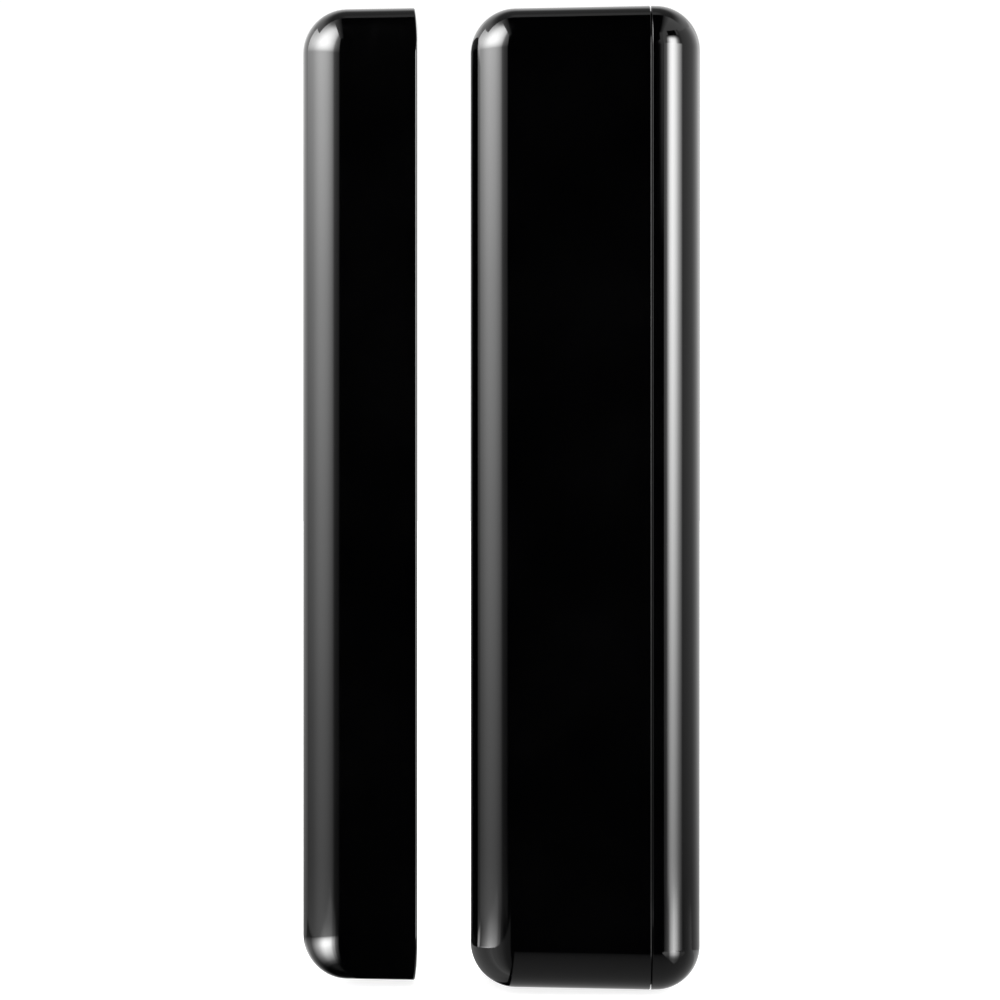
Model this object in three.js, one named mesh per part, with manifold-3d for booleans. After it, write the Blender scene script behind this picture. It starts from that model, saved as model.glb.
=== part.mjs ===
// Door contact sensor: a slim wireless sensor on a wall bracket, and the magnet unit that stands beside it.
// Millimetres. X runs along the wall, Y into the wall (the wall face is y = 0), Z up. The origin is behind the
// middle of the sensor.
import * as THREE from "three";
import { RoundedBoxGeometry } from "three/addons/geometries/RoundedBoxGeometry.js";
import { mergeVertices } from "three/addons/utils/BufferGeometryUtils.js";
import Module from "manifold-3d";

const wasm = await Module();
wasm.setup();

// ---- Driving dimensions ----
const HEIGHT = 90; // both housings, from end to end
const SENSOR_WIDTH = 21;
const SENSOR_DEPTH = 20; // front face to wall
const MAGNET_WIDTH = 10.7;
const MAGNET_DEPTH = 15.8;
const UNIT_GAP = 4.9; // between the two housings with the door shut
const MAGNET_RISE = 0.35; // the magnet unit stands this much higher than the sensor
const SEAM_X = 5.8; // where the sensor housing ends and the side cover begins
const EDGE_RADIUS = 4.1;
const EDGE_STEPS = 5; // facets per rounded edge, each side of its middle
const SENSOR_DRAFT = 0.019; // mould draft on each end face, millimetres per millimetre of width
const MAGNET_DRAFT = 0.016;
const WALL = 1.5;
const GAP = 0.3; // clearance between neighbouring pieces
const SEAM_GAP = 0.25;
const SOLDER_GAP = 0.1;
const TAPE = 0.7; // adhesive tape thickness
const PLATE = 1.6; // bracket and magnet base thickness
const SLIDE = 5; // how far the sensor slides up to leave its hooks
const TAMPER_TRAVEL = 1;
const SCREW = { shank: 1.7, head: 3, sink: 1.1 }; // radii and countersink depth for 3 mm wood screws

const HALF = HEIGHT / 2;
const PLATE_FRONT = -(TAPE + PLATE);
const HOUSING_BACK = PLATE_FRONT - GAP;
const INNER_BACK = HOUSING_BACK - WALL;
const INNER_FRONT = -SENSOR_DEPTH + WALL;
const INNER_LEFT = -SENSOR_WIDTH / 2 + WALL;
const INNER_END = HALF - WALL;

// Circuit board, standing parallel to the wall just in front of the hooks.
const BOARD = { x: [-8.4, 5.8], y: [-6.9, -5.9], z: [-42, 42] };
const BOARD_FRONT = BOARD.y[0];
const BOARD_BACK = BOARD.y[1];

// Hooks: a foot through the housing's slot, and a tongue that points up behind the back wall.
const HOOK = { x: -2, width: 6, foot: 1.6, tongue: 4, thickness: 1, at: [-28, 32] };

const TAMPER = { x: 2, z: 10.5, rod: 1.1 };
const ENROL = { x: 2, z: 22, cap: 1.3 };
const BATTERY = { x: 1.5, y: -12.35, radius: 5.25, wrap: 0.3, low: -38.9, length: 44.5 };
const REED = { x: -7.2, y: -9.6, radius: 1.2, bore: 0.8, half: 7 };

const MAGNET_X = -SENSOR_WIDTH / 2 - UNIT_GAP - MAGNET_WIDTH / 2;
const MAGNET_WALL = 1.4;
const MAGNET_INNER = MAGNET_WIDTH / 2 - MAGNET_WALL;
const BAR = { width: 5, depth: 6, length: 30, back: -4.2, middle: 1 };

// ---- Materials ----
const finish = (color, roughness, metalness) => ({ color, roughness, metalness });
const GLOSS_BLACK = finish(0x0b0b0d, 0.18, 0);
const MATTE_BLACK = finish(0x17171a, 0.6, 0);
const TAPE_GREY = finish(0xb9bbbd, 0.85, 0);
const FOAM = finish(0x3a3c40, 0.95, 0);
const BOARD_GREEN = finish(0x14502c, 0.45, 0);
const CHIP_BLACK = finish(0x1d1e20, 0.5, 0);
const TIN = finish(0xc3c6c8, 0.35, 0.9);
const SPRING_STEEL = finish(0xb4b6ba, 0.3, 1);
const COPPER = finish(0xb8733e, 0.35, 1);
const GLASS = finish(0xbcd8cf, 0.05, 0);
const REED_METAL = finish(0xcfc9ba, 0.3, 1);
const NICKEL = finish(0xd2d2d0, 0.2, 1);
const LED_WHITE = finish(0xe9efe8, 0.25, 0);
const BUTTON_WHITE = finish(0xdedfdc, 0.5, 0);
const WRAP_BLUE = finish(0x22364f, 0.3, 0);
const TANTALUM = finish(0xd09a32, 0.45, 0);

// ---- Shape helpers ----
function solidOf(geometry) {
  const bare = geometry.clone();
  bare.deleteAttribute("normal");
  bare.deleteAttribute("uv");
  const merged = mergeVertices(bare, 1e-4);
  return new wasm.Manifold(
    new wasm.Mesh({
      numProp: 3,
      vertProperties: merged.attributes.position.array,
      triVerts: new Uint32Array(merged.index.array),
    }),
  );
}

function geometryOf(solid) {
  const mesh = solid.getMesh();
  const geometry = new THREE.BufferGeometry();
  geometry.setAttribute("position", new THREE.BufferAttribute(mesh.vertProperties, 3));
  geometry.setIndex(new THREE.BufferAttribute(mesh.triVerts, 1));
  const flat = geometry.toNonIndexed();
  flat.computeVertexNormals();
  return flat;
}

const size = ([low, high]) => high - low;
const middle = ([low, high]) => (low + high) / 2;
const around = (centre, width) => [centre - width / 2, centre + width / 2];

function place(geometry, x, y, z) {
  return geometry.translate(middle(x), middle(y), middle(z));
}

function block(x, y, z) {
  return solidOf(place(new THREE.BoxGeometry(size(x), size(y), size(z)), x, y, z));
}

function roundedGeometry(x, y, z, radius, steps = EDGE_STEPS) {
  return place(new RoundedBoxGeometry(size(x), size(y), size(z), steps, radius), x, y, z);
}

function roundedBlock(x, y, z, radius, steps) {
  return solidOf(roundedGeometry(x, y, z, radius, steps));
}

// A cylinder along Y (into the wall) or Z (up) between two levels.
function rodY(x, z, radius, y, sides = 20, radiusFront = radius) {
  const rod = new THREE.CylinderGeometry(radius, radiusFront, size(y), sides);
  return solidOf(rod.translate(x, middle(y), z));
}

function rodZ(x, y, radius, z, sides = 20) {
  const rod = new THREE.CylinderGeometry(radius, radius, size(z), sides);
  return solidOf(rod.rotateX(Math.PI / 2).translate(x, y, middle(z)));
}

// A flat plate with rounded corners, seen from the front.
function plate(x, z, radius, y) {
  const [w, h] = [size(x) / 2 - radius, size(z) / 2 - radius];
  const outline = new THREE.Shape();
  const quarter = Math.PI / 2;
  outline.absarc(w, h, radius, 0, quarter);
  outline.absarc(-w, h, radius, quarter, 2 * quarter);
  outline.absarc(-w, -h, radius, 2 * quarter, 3 * quarter);
  outline.absarc(w, -h, radius, 3 * quarter, 4 * quarter);
  const slab = new THREE.ExtrudeGeometry(outline, { depth: size(y), bevelEnabled: false, curveSegments: 6 });
  return solidOf(slab.rotateX(Math.PI / 2).translate(middle(x), y[1], middle(z)));
}

// A round wire along a curve.
class Path extends THREE.Curve {
  constructor(point) {
    super();
    this.point = point;
  }
  getPoint(t, target = new THREE.Vector3()) {
    return target.set(...this.point(t));
  }
}

function wire(point, radius, steps, sides = 6) {
  const section = new THREE.Shape();
  for (let i = 0; i < sides; i += 1) {
    const turn = (2 * Math.PI * i) / sides;
    const corner = [radius * Math.cos(turn), radius * Math.sin(turn)];
    if (i === 0) section.moveTo(...corner);
    else section.lineTo(...corner);
  }
  const options = { extrudePath: new Path(point), steps, bevelEnabled: false };
  return solidOf(new THREE.ExtrudeGeometry(section, options));
}

// Lets the end faces lean in by `slope` for each millimetre further left than `full`.
function drafted(geometry, full, slope) {
  const position = geometry.attributes.position;
  for (let i = 0; i < position.count; i += 1) {
    const lean = slope * Math.max(0, full - position.getX(i));
    position.setZ(i, position.getZ(i) - Math.sign(position.getZ(i)) * lean);
  }
  return geometry;
}

const union = (...solids) => solids.reduce((whole, next) => whole.add(next));

function piece(name, solid, look) {
  const mesh = new THREE.Mesh(geometryOf(solid), new THREE.MeshStandardMaterial({ ...look }));
  mesh.name = name;
  return mesh;
}

function group(...children) {
  const holder = new THREE.Group();
  holder.add(...children);
  return holder;
}

// ---- Sensor housing and side cover ----
// The whole outside: every front edge and corner rounded, the back cut flat.
function sensorOutside() {
  const width = [-SENSOR_WIDTH / 2, SENSOR_WIDTH / 2];
  const depth = [-SENSOR_DEPTH, HOUSING_BACK + EDGE_RADIUS];
  const blank = roundedGeometry(width, depth, [-HALF, HALF], EDGE_RADIUS);
  const trim = block([-SENSOR_WIDTH, SENSOR_WIDTH], [-SENSOR_DEPTH - 1, HOUSING_BACK], [-HEIGHT, HEIGHT]);
  return solidOf(drafted(blank, SEAM_X, SENSOR_DRAFT)).intersect(trim);
}

const INNER_RADIUS = 2.4;

// The space inside the housing, open at the seam, made larger all round by `grow`.
function cavity(grow) {
  return roundedBlock(
    [INNER_LEFT - grow, SEAM_X + 2 * INNER_RADIUS],
    [INNER_FRONT - grow, INNER_BACK + grow],
    [-INNER_END - grow, INNER_END + grow],
    INNER_RADIUS,
    3,
  );
}

// Ribs at both ends that hold the board's short edges from the back and the front.
function boardRails() {
  const x = [INNER_LEFT - GAP, -3];
  const end = (side) => {
    const z = side > 0 ? [BOARD.z[1] - 1, INNER_END + GAP] : [-INNER_END - GAP, BOARD.z[0] + 1];
    const behind = block(x, [BOARD_BACK + GAP, INNER_BACK + GAP], z);
    const before = block(x, [BOARD_FRONT - 1.3, BOARD_FRONT - GAP], z);
    return union(behind, before);
  };
  return union(end(1), end(-1));
}

// Two ribs with a round seat for the battery.
function batterySaddles() {
  const seat = rodZ(BATTERY.x, BATTERY.y, BATTERY.radius + GAP, [-HALF, HALF], 28);
  const rib = (z) => block([INNER_LEFT - GAP, -1], [INNER_FRONT - GAP, BOARD_FRONT - 0.8], around(z, 1.2));
  return union(rib(-34), rib(-16)).subtract(seat);
}

function hookSlot(z) {
  const tall = [z - SLIDE - GAP, z + HOOK.foot + GAP];
  return block(around(HOOK.x, HOOK.width + 2 * GAP), [INNER_BACK - GAP, HOUSING_BACK + GAP], tall);
}

function sensorHousing() {
  const body = sensorOutside().intersect(
    block([-SENSOR_WIDTH, SEAM_X], [-SENSOR_DEPTH - 1, 0], [-HEIGHT, HEIGHT]),
  );
  const through = [INNER_BACK - GAP, HOUSING_BACK + GAP];
  const inside = union(boardRails(), batterySaddles()).intersect(cavity(GAP));
  let shell = union(body.subtract(cavity(0)), inside);
  for (const z of HOOK.at) shell = shell.subtract(hookSlot(z));
  shell = shell.subtract(rodY(TAMPER.x, TAMPER.z, TAMPER.rod + 0.4, through));
  return shell.subtract(rodY(ENROL.x, ENROL.z, ENROL.cap + 0.4, through));
}

// The strip at the right: a shallow cup whose lip slips inside the housing.
function sideCover() {
  const LIP = { reach: 1.8, thickness: 0.9, slack: 0.15 };
  const start = SEAM_X + SEAM_GAP;
  const strip = sensorOutside().intersect(
    block([start, SENSOR_WIDTH], [-SENSOR_DEPTH - 1, 0], [-HEIGHT, HEIGHT]),
  );
  const ring = (inset, radius, right) =>
    roundedBlock(
      [start - 4 * INNER_RADIUS, right],
      [INNER_FRONT + inset, INNER_BACK - inset],
      [-INNER_END + inset, INNER_END - inset],
      radius,
      3,
    );
  const outer = ring(LIP.slack, INNER_RADIUS, SENSOR_WIDTH / 2 - WALL + 0.4);
  const inner = ring(LIP.slack + LIP.thickness, INNER_RADIUS - 0.8, SENSOR_WIDTH / 2 - WALL);
  const lip = outer.intersect(block([start - LIP.reach, SENSOR_WIDTH], [-SENSOR_DEPTH, 0], [-HEIGHT, HEIGHT]));
  return union(strip, lip).subtract(inner);
}

// ---- Wall bracket ----
// A countersunk hole through a plate whose front face is at `front`.
function screwHole(x, z, front) {
  const shank = rodY(x, z, SCREW.shank, [front - 1, 0.5]);
  const head = rodY(x, z, SCREW.shank, [front - 0.01, front + SCREW.sink], 20, SCREW.head);
  return union(shank, head);
}

function tamperRamp() {
  // The recess starts level with the plate behind the resting plunger and deepens upwards.
  const slope = TAMPER_TRAVEL / SLIDE;
  const top = SLIDE + 2;
  const side = new THREE.Shape();
  side.moveTo(0, 0.5);
  side.lineTo(0, 0);
  side.lineTo(top, -slope * top);
  side.lineTo(top, 0.5);
  const wedge = new THREE.ExtrudeGeometry(side, { depth: 3.4, bevelEnabled: false });
  // The outline's first direction becomes up, its second direction becomes forwards.
  wedge.applyMatrix4(new THREE.Matrix4().set(0, 0, 1, TAMPER.x - 1.7, 0, -1, 0, PLATE_FRONT, 1, 0, 0, TAMPER.z, 0, 0, 0, 1));
  return solidOf(wedge);
}

function hook(z) {
  const x = around(HOOK.x, HOOK.width);
  const front = INNER_BACK - GAP - HOOK.thickness;
  const foot = block(x, [front, PLATE_FRONT + 0.5], [z, z + HOOK.foot]);
  const tongue = block(x, [front, front + HOOK.thickness], [z, z + HOOK.foot + HOOK.tongue]);
  return union(foot, tongue);
}

function mountingBracket() {
  const inset = 0.4;
  const x = [-SENSOR_WIDTH / 2 + inset, SENSOR_WIDTH / 2 - inset];
  let body = plate(x, around(0, HEIGHT - 4 * inset), EDGE_RADIUS - inset, [PLATE_FRONT, -TAPE]);
  body = body.subtract(tamperRamp());
  // A thin cut round the ramp on three sides: the tongue it leaves tears off if the bracket is prised away.
  const through = [PLATE_FRONT - 1, 0];
  const cut = 0.6;
  const tongue = { x: around(TAMPER.x, 8), z: [TAMPER.z - 4, TAMPER.z + 10] };
  body = body.subtract(block([tongue.x[0], tongue.x[0] + cut], through, tongue.z));
  body = body.subtract(block([tongue.x[1] - cut, tongue.x[1]], through, tongue.z));
  body = body.subtract(block(tongue.x, through, [tongue.z[1] - cut, tongue.z[1]]));
  // Countersunk screw holes near the ends, clear of the tape.
  for (const z of [-38, 40]) body = body.subtract(screwHole(HOOK.x, z, PLATE_FRONT));
  for (const z of HOOK.at) body = body.add(hook(z));
  return body;
}

function tape(x, z) {
  return plate(x, z, 1.5, [-TAPE + 0.05, 0]);
}

// ---- Circuit board and its parts ----
function circuitBoard() {
  const board = plate(BOARD.x, BOARD.z, 1, BOARD.y);
  return board.subtract(rodY(TAMPER.x, TAMPER.z, TAMPER.rod + 0.5, [BOARD_FRONT - 1, BOARD_BACK + 1]));
}

// A box-shaped part soldered on the board's front.
function onBoard(x, z, width, height, thickness) {
  const y = [BOARD_FRONT - SOLDER_GAP - thickness, BOARD_FRONT - SOLDER_GAP];
  return block(around(x, width), y, around(z, height));
}

// A chip with small feet along its left and right edges.
function chip(x, z, wide, tall, thickness, feet) {
  let body = onBoard(x, z, wide, tall, thickness);
  const pitch = tall / (feet + 1);
  for (let i = 1; i <= feet; i += 1) {
    const foot = [wide + 1.2, 0.4, thickness / 3];
    body = body.add(onBoard(x, z - tall / 2 + i * pitch, ...foot));
  }
  return body;
}

function shieldCan() {
  const y = [BOARD_FRONT - SOLDER_GAP - 2.4, BOARD_FRONT - SOLDER_GAP];
  const lid = roundedBlock(around(1.5, 7.4), [y[0], y[1] + 1], around(31, 11), 0.5, 1);
  const can = lid.intersect(block([-9, 9], y, [0, HALF]));
  return can.subtract(block(around(1.5, 6.6), [y[0] + 0.4, y[1] + 1], around(31, 10.2)));
}

function crystal() {
  const y = [BOARD_FRONT - SOLDER_GAP - 1.1, BOARD_FRONT - SOLDER_GAP];
  return plate(around(3.6, 1.8), around(17.5, 4.6), 0.85, y);
}

function statusLed() {
  const base = onBoard(1.5, 39.2, 3, 2, 0.8);
  const lens = new THREE.SphereGeometry(0.9, 12, 8).translate(1.5, BOARD_FRONT - SOLDER_GAP - 0.8, 39.2);
  return base.add(solidOf(lens));
}

// A helical antenna: a leg from the board, then a coil that rises beside the shield.
function antennaCoil() {
  const coil = { x: -5.6, y: -10.4, radius: 2, turns: 7, low: 16, high: 36, leg: 0.06 };
  return wire(
    (t) => {
      if (t < coil.leg) {
        const run = t / coil.leg;
        const back = BOARD_FRONT - SOLDER_GAP - 0.4;
        return [coil.x, back + run * (coil.y + coil.radius - back), coil.low - 1.2 * (1 - run)];
      }
      const run = (t - coil.leg) / (1 - coil.leg);
      const turn = 2 * Math.PI * coil.turns * run;
      const x = coil.x + coil.radius * Math.sin(turn);
      const y = coil.y + coil.radius * Math.cos(turn);
      return [x, y, coil.low + run * (coil.high - coil.low)];
    },
    0.35,
    112,
  );
}

function storageCapacitor() {
  const y = [BOARD_FRONT - SOLDER_GAP - 1.8, BOARD_FRONT - SOLDER_GAP];
  return roundedBlock(around(-6, 3), y, around(-28, 6), 0.3, 1);
}

// ---- Reed switch ----
function reedGlass() {
  const tube = rodZ(REED.x, REED.y, REED.radius, [-REED.half, REED.half], 18);
  return tube.subtract(rodZ(REED.x, REED.y, REED.bore, [-REED.half - 1, REED.half + 1], 14));
}

// A lead runs out of the glass and turns back to the board; `side` is +1 for the upper one.
function reedLead(side, inner) {
  const bend = 1.5;
  const straight = 0.5;
  const turn = straight + 0.2;
  const end = REED.half + 1.2;
  const board = BOARD_FRONT - SOLDER_GAP;
  return wire(
    (t) => {
      if (t < straight) return [REED.x, REED.y, side * (inner + (t / straight) * (end - inner))];
      if (t < turn) {
        const angle = ((t - straight) / (turn - straight)) * (Math.PI / 2);
        const y = REED.y + bend * (1 - Math.cos(angle));
        return [REED.x, y, side * (end + bend * Math.sin(angle))];
      }
      const y = REED.y + bend + ((t - turn) / (1 - turn)) * (board - REED.y - bend);
      return [REED.x, y, side * (end + bend)];
    },
    0.25,
    20,
    8,
  );
}

const BLADE = { thickness: 0.2, width: 1, overlap: 0.8 };

function reedLowerLead() {
  const blade = block(
    around(REED.x - 0.15, BLADE.thickness),
    around(REED.y, BLADE.width),
    [-REED.half + 0.8, BLADE.overlap],
  );
  return union(reedLead(-1, REED.half - 1), blade);
}

function reedBlade() {
  const x = around(REED.x + 0.15, BLADE.thickness);
  return block(x, around(REED.y, BLADE.width), [-BLADE.overlap, REED.half - 1.4]);
}

// ---- Tamper switch and enrol button ----
function tamperSwitch() {
  const body = onBoard(TAMPER.x, TAMPER.z, 6, 5.6, 4);
  const bore = [BOARD_FRONT - 3.6, BOARD_FRONT + 1];
  return body.subtract(rodY(TAMPER.x, TAMPER.z, TAMPER.rod + 0.7, bore));
}

function tamperPlunger() {
  const rod = rodY(TAMPER.x, TAMPER.z, TAMPER.rod, [BOARD_FRONT - 2.3, HOUSING_BACK]);
  const flange = rodY(TAMPER.x, TAMPER.z, TAMPER.rod + 0.4, [BOARD_FRONT - 2.3, BOARD_FRONT - 1.7]);
  return union(rod, flange);
}

function tamperSpring() {
  const y = [BOARD_FRONT - 3.4, BOARD_FRONT - 2.5];
  return wire(
    (t) => {
      const turn = 2 * Math.PI * 2.5 * t;
      const depth = y[1] - 0.1 - t * (size(y) - 0.2);
      return [TAMPER.x + 0.9 * Math.cos(turn), depth, TAMPER.z + 0.9 * Math.sin(turn)];
    },
    0.1,
    40,
  );
}

function enrolSwitch() {
  const y = [BOARD_BACK + SOLDER_GAP, INNER_BACK - GAP];
  const body = block(around(ENROL.x, 4.2), y, around(ENROL.z, 4.2));
  return body.subtract(rodY(ENROL.x, ENROL.z, ENROL.cap + 0.3, [y[1] - 0.9, y[1] + 1]));
}

function enrolCap() {
  return rodY(ENROL.x, ENROL.z, ENROL.cap, [INNER_BACK - GAP - 0.4, HOUSING_BACK - GAP]);
}

// ---- Battery and contacts ----
const BATTERY_TOP = BATTERY.low + BATTERY.length;
const STRIP = 0.35; // contact strip thickness

function batteryCan() {
  const r = BATTERY.radius - BATTERY.wrap - 0.1;
  const nub = 1.9;
  const profile = [
    [0, 0],
    [r - 0.5, 0],
    [r, 0.5],
    [r, BATTERY.length - 1.8],
    [r - 0.6, BATTERY.length - 1.1],
    [nub, BATTERY.length - 1.1],
    [nub, BATTERY.length - 0.2],
    [nub - 0.3, BATTERY.length],
    [0, BATTERY.length],
  ].map(([x, y]) => new THREE.Vector2(x, y));
  const can = new THREE.LatheGeometry(profile, 32).rotateX(Math.PI / 2);
  return solidOf(can.translate(BATTERY.x, BATTERY.y, BATTERY.low));
}

function batteryWrap() {
  const z = [BATTERY.low + 0.3, BATTERY_TOP - 1.6];
  const sleeve = rodZ(BATTERY.x, BATTERY.y, BATTERY.radius, z, 32);
  return sleeve.subtract(rodZ(BATTERY.x, BATTERY.y, BATTERY.radius - BATTERY.wrap, [z[0] - 1, z[1] + 1], 32));
}

// A bent strip: a plate across the battery's end and a foot soldered to the board.
function contactStrip(z) {
  const x = around(BATTERY.x, 7);
  const y = [BATTERY.y - 3, BOARD_FRONT - SOLDER_GAP];
  const face = block(x, y, [z, z + STRIP]);
  return union(face, block(x, [y[1] - STRIP, y[1]], [z, z + 1.2]));
}

function contactSpring() {
  const z = [BOARD.z[0] + STRIP, BATTERY.low - GAP];
  return wire(
    (t) => {
      const turn = 2 * Math.PI * 2.25 * t;
      const radius = 3 - 1.4 * t;
      const rise = z[0] + 0.25 + t * (size(z) - 0.45);
      return [BATTERY.x + radius * Math.cos(turn), BATTERY.y + radius * Math.sin(turn), rise];
    },
    0.15,
    54,
  );
}

// ---- Magnet unit, around its own middle ----
function magnetHousing() {
  const half = MAGNET_WIDTH / 2;
  const blank = roundedGeometry(
    [-half, half + 2 * EDGE_RADIUS],
    [-MAGNET_DEPTH, HOUSING_BACK + EDGE_RADIUS],
    [-HALF, HALF],
    EDGE_RADIUS,
  );
  const trim = block([-MAGNET_WIDTH, half], [-MAGNET_DEPTH - 1, HOUSING_BACK], [-HEIGHT, HEIGHT]);
  const body = solidOf(drafted(blank, half, MAGNET_DRAFT)).intersect(trim);
  const hollow = roundedBlock(
    [-MAGNET_INNER, MAGNET_INNER],
    [-MAGNET_DEPTH + MAGNET_WALL, HOUSING_BACK + 2 * INNER_RADIUS],
    [-INNER_END, INNER_END],
    INNER_RADIUS - 0.6,
    3,
  );
  return body.subtract(hollow);
}

function magnetBase() {
  const inset = 0.4;
  const half = MAGNET_WIDTH / 2 - inset;
  const base = plate([-half, half], around(0, HEIGHT - 5 * inset), 1.2, [PLATE_FRONT, -TAPE]);
  const inner = MAGNET_INNER - GAP;
  const plug = plate([-inner, inner], around(0, 2 * INNER_END - 6 * GAP), 1.6, [BAR.back + GAP, PLATE_FRONT + 0.5]);
  let body = union(base, plug);
  // Cradle: two side walls and an end stop above and below the bars.
  const reach = BAR.middle + BAR.length;
  const tall = [-reach - GAP - 1, reach + GAP + 1];
  const y = [BAR.back - BAR.depth * 0.8, BAR.back + 2 * GAP];
  const wall = BAR.width / 2 + GAP;
  for (const side of [-1, 1]) {
    const x = side > 0 ? [wall, inner] : [-inner, -wall];
    const z = side > 0 ? [reach + GAP, tall[1]] : [tall[0], -reach - GAP];
    body = body.add(block(x, y, tall)).add(block([-inner, inner], y, z));
    body = body.subtract(screwHole(0, 38 * side, BAR.back + GAP));
  }
  return body;
}

function barMagnet(side) {
  const z = [BAR.middle / 2, BAR.middle / 2 + BAR.length].map((level) => side * level);
  const y = [BAR.back - BAR.depth, BAR.back];
  return roundedBlock(around(0, BAR.width), y, z.sort((a, b) => a - b), 0.3, 1);
}

function foamStrip() {
  const y = [-MAGNET_DEPTH + MAGNET_WALL + 0.2, BAR.back - BAR.depth - GAP];
  return block(around(0, 4.4), y, around(0, 56));
}

// ---- Assembly ----
const bracket = group(
  piece("mounting_bracket", mountingBracket(), MATTE_BLACK),
  piece("bracket_tape", tape(around(0, 17), around(-1, 60)), TAPE_GREY),
);

const sensor = group(
  piece("sensor_housing", sensorHousing(), GLOSS_BLACK),
  piece("side_cover", sideCover(), GLOSS_BLACK),
  piece("circuit_board", circuitBoard(), BOARD_GREEN),
  piece("shield_can", shieldCan(), TIN),
  piece("microcontroller", chip(-0.9, 18, 4.4, 5, 0.9, 6), CHIP_BLACK),
  piece("crystal", crystal(), TIN),
  piece("status_led", statusLed(), LED_WHITE),
  piece("antenna_coil", antennaCoil(), COPPER),
  piece("voltage_regulator", chip(-6, -21.5, 2.6, 3.6, 1.3, 3), CHIP_BLACK),
  piece("storage_capacitor", storageCapacitor(), TANTALUM),
);

const switches = group(
  piece("reed_glass", reedGlass(), GLASS),
  piece("reed_lower_lead", reedLowerLead(), REED_METAL),
  piece("reed_upper_lead", reedLead(1, REED.half - 1), REED_METAL),
  piece("reed_blade", reedBlade(), REED_METAL),
  piece("tamper_switch", tamperSwitch(), CHIP_BLACK),
  piece("tamper_plunger", tamperPlunger(), BUTTON_WHITE),
  piece("tamper_spring", tamperSpring(), SPRING_STEEL),
  piece("enrol_switch", enrolSwitch(), CHIP_BLACK),
  piece("enrol_cap", enrolCap(), BUTTON_WHITE),
);

const power = group(
  piece("battery_can", batteryCan(), NICKEL),
  piece("battery_wrap", batteryWrap(), WRAP_BLUE),
  piece("positive_contact", contactStrip(BATTERY_TOP + GAP), SPRING_STEEL),
  piece("negative_contact", contactStrip(BOARD.z[0]), SPRING_STEEL),
  piece("contact_spring", contactSpring(), SPRING_STEEL),
);

const magnetUnit = group(
  piece("magnet_housing", magnetHousing(), GLOSS_BLACK),
  piece("magnet_base", magnetBase(), MATTE_BLACK),
  piece("magnet_tape", tape(around(0, 7), around(0, 64)), TAPE_GREY),
  piece("upper_bar_magnet", barMagnet(1), NICKEL),
  piece("lower_bar_magnet", barMagnet(-1), NICKEL),
  piece("foam_strip", foamStrip(), FOAM),
);
magnetUnit.position.set(MAGNET_X, 0, MAGNET_RISE);

export default group(bracket, sensor, switches, power, magnetUnit);
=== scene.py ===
"""Looks of the door contact sensor: smooth shells, the parts inside them, and a white studio."""

import math
from types import SimpleNamespace as Sizes

import bmesh
import bpy
from mathutils import Matrix, Vector


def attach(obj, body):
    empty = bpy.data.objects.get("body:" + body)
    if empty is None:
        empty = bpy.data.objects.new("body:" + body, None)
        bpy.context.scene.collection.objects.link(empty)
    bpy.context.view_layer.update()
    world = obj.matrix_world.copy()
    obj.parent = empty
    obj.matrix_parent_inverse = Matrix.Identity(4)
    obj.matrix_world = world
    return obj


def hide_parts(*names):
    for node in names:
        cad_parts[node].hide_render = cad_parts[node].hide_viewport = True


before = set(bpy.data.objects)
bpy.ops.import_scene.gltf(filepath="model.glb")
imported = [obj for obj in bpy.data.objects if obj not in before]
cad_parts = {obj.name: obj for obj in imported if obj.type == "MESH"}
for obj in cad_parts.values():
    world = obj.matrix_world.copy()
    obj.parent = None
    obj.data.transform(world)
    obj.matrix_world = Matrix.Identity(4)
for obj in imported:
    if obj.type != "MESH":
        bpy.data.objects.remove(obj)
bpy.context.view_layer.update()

# ---- Dimensions, in millimetres, as in the CAD source ----
HEIGHT = 90.0
HALF = HEIGHT / 2
SENSOR_WIDTH = 21.0
SENSOR_DEPTH = 20.0
MAGNET_WIDTH = 10.7
MAGNET_DEPTH = 15.8
UNIT_GAP = 4.9
MAGNET_RISE = 0.35
SEAM_X = 5.86
SEAM_GAP = 0.12
EDGE_RADIUS = 4.1
INNER_RADIUS = 2.4
SENSOR_DRAFT = 0.019
MAGNET_DRAFT = 0.016
MAGNET_HALF = HALF + 0.15  # half the magnet unit's height
END_STRETCH = 1.15  # how much further the magnet unit's end edges curve over than its long ones
WALL = 1.5
MAGNET_WALL = 1.4
GAP = 0.3
TAPE = 0.7
PLATE = 1.6
SLIDE = 5.0
RIM = 0.18  # rounding of the thin edges at the back and at the magnet unit's flat side
SEAM_RIM = 0.05
BACK_RADIUS = 0.15  # rounding of the upright edges at the back
SCREW = Sizes(shank=1.7, head=3.0, sink=1.1, magnet_at=(-38, 38), bracket_at=(-38, 40))

PLATE_FRONT = -(TAPE + PLATE)
HOUSING_BACK = PLATE_FRONT - GAP
INNER_BACK = HOUSING_BACK - WALL
INNER_FRONT = -SENSOR_DEPTH + WALL
INNER_LEFT = -SENSOR_WIDTH / 2 + WALL
INNER_END = HALF - WALL
MAGNET_X = -SENSOR_WIDTH / 2 - UNIT_GAP - MAGNET_WIDTH / 2

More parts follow.
